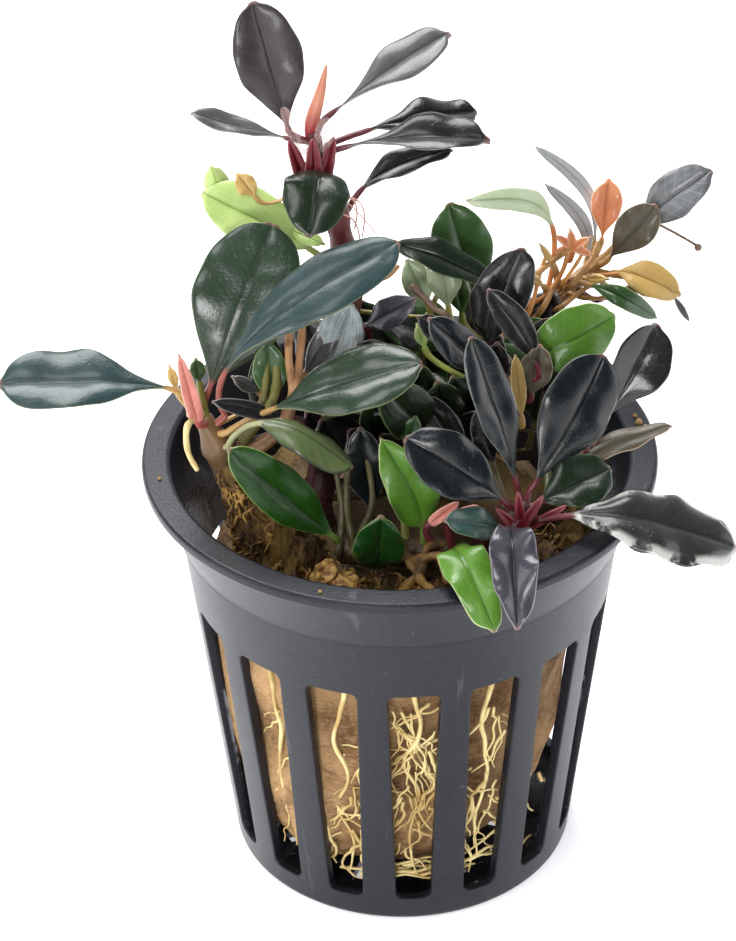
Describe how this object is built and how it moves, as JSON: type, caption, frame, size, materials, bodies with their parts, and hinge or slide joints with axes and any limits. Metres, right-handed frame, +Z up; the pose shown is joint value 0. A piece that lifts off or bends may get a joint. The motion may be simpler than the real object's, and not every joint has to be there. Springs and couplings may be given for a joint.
{
  "type": "bucephalandra",
  "caption": "Small aquarium plant with dark glossy leaves on creeping stems, rooted in a plug of mineral wool that stands in a slotted net pot.",
  "frame": {"origin": "centre of the net pot's flat underside", "axes": "+Z up along the pot's axis; -Y towards the plant's front, +X to its right"},
  "size_m": [0.0762, 0.0568, 0.0971],
  "materials": {
    "pot": "satin",
    "wool": "matte",
    "root": "satin",
    "rhizome": "matte",
    "red_stem": "satin",
    "young_leaf": "satin",
    "black_leaf": "gloss",
    "blue_leaf": "gloss",
    "grey_green_leaf": "gloss",
    "silver_leaf": "gloss",
    "green_leaf": "gloss",
    "lime_leaf": "satin",
    "ochre_leaf": "satin",
    "taupe_leaf": "satin"
  },
  "bodies": {
    "root": {"net_pot": "pot", "rockwool": "wool", "stem_top": "red_stem", "stem_left": "rhizome", "stem_right": "red_stem", "stem_side": "rhizome", "stem_middle": "rhizome", "stem_back": "rhizome", "rhizome_front": "rhizome", "root_left": "root", "root_front_left": "root", "root_front": "root", "root_front_right": "root", "bud_top": "young_leaf", "leaf_top_tall": "black_leaf", "leaf_top_upper_right": "silver_leaf", "leaf_top_right": "black_leaf", "leaf_top_behind": "black_leaf", "leaf_top_lower": "black_leaf", "leaf_top_left": "black_leaf", "leaf_top_front": "grey_green_leaf", "leaf_lime": "lime_leaf", "leaf_green_high": "green_leaf", "leaf_green_behind": "green_leaf", "leaf_left_long": "grey_green_leaf", "leaf_left_broad": "grey_green_leaf", "leaf_left_across": "blue_leaf", "leaf_left_pointing": "grey_green_leaf", "leaf_left_curled": "grey_green_leaf", "sheath_left": "young_leaf", "leaf_left_inner": "silver_leaf", "leaf_left_low": "green_leaf", "leaf_right_left": "blue_leaf", "leaf_right_upright": "black_leaf", "leaf_right_large": "blue_leaf", "leaf_right_over_rim": "black_leaf", "leaf_right_short": "blue_leaf", "leaf_right_front": "blue_leaf", "leaf_right_low": "blue_leaf", "leaf_side_glossy": "black_leaf", "leaf_side_taupe": "taupe_leaf", "leaf_middle_left": "blue_leaf", "leaf_middle_right": "black_leaf", "leaf_middle_black": "black_leaf", "leaf_middle_green": "lime_leaf", "leaf_shade_upper": "black_leaf", "leaf_shade_red": "black_leaf", "leaf_shade_low": "green_leaf", "leaf_front_green": "green_leaf", "leaf_front_bright": "lime_leaf", "leaf_front_round": "green_leaf", "leaf_front_lime": "lime_leaf", "leaf_back_silver": "silver_leaf", "leaf_back_olive": "taupe_leaf", "leaf_back_young": "young_leaf", "leaf_back_narrow": "silver_leaf", "leaf_back_grey": "silver_leaf", "leaf_back_ochre": "ochre_leaf", "leaf_back_low": "green_leaf", "leaf_back_arched": "green_leaf"}
  },
  "joints": []
}
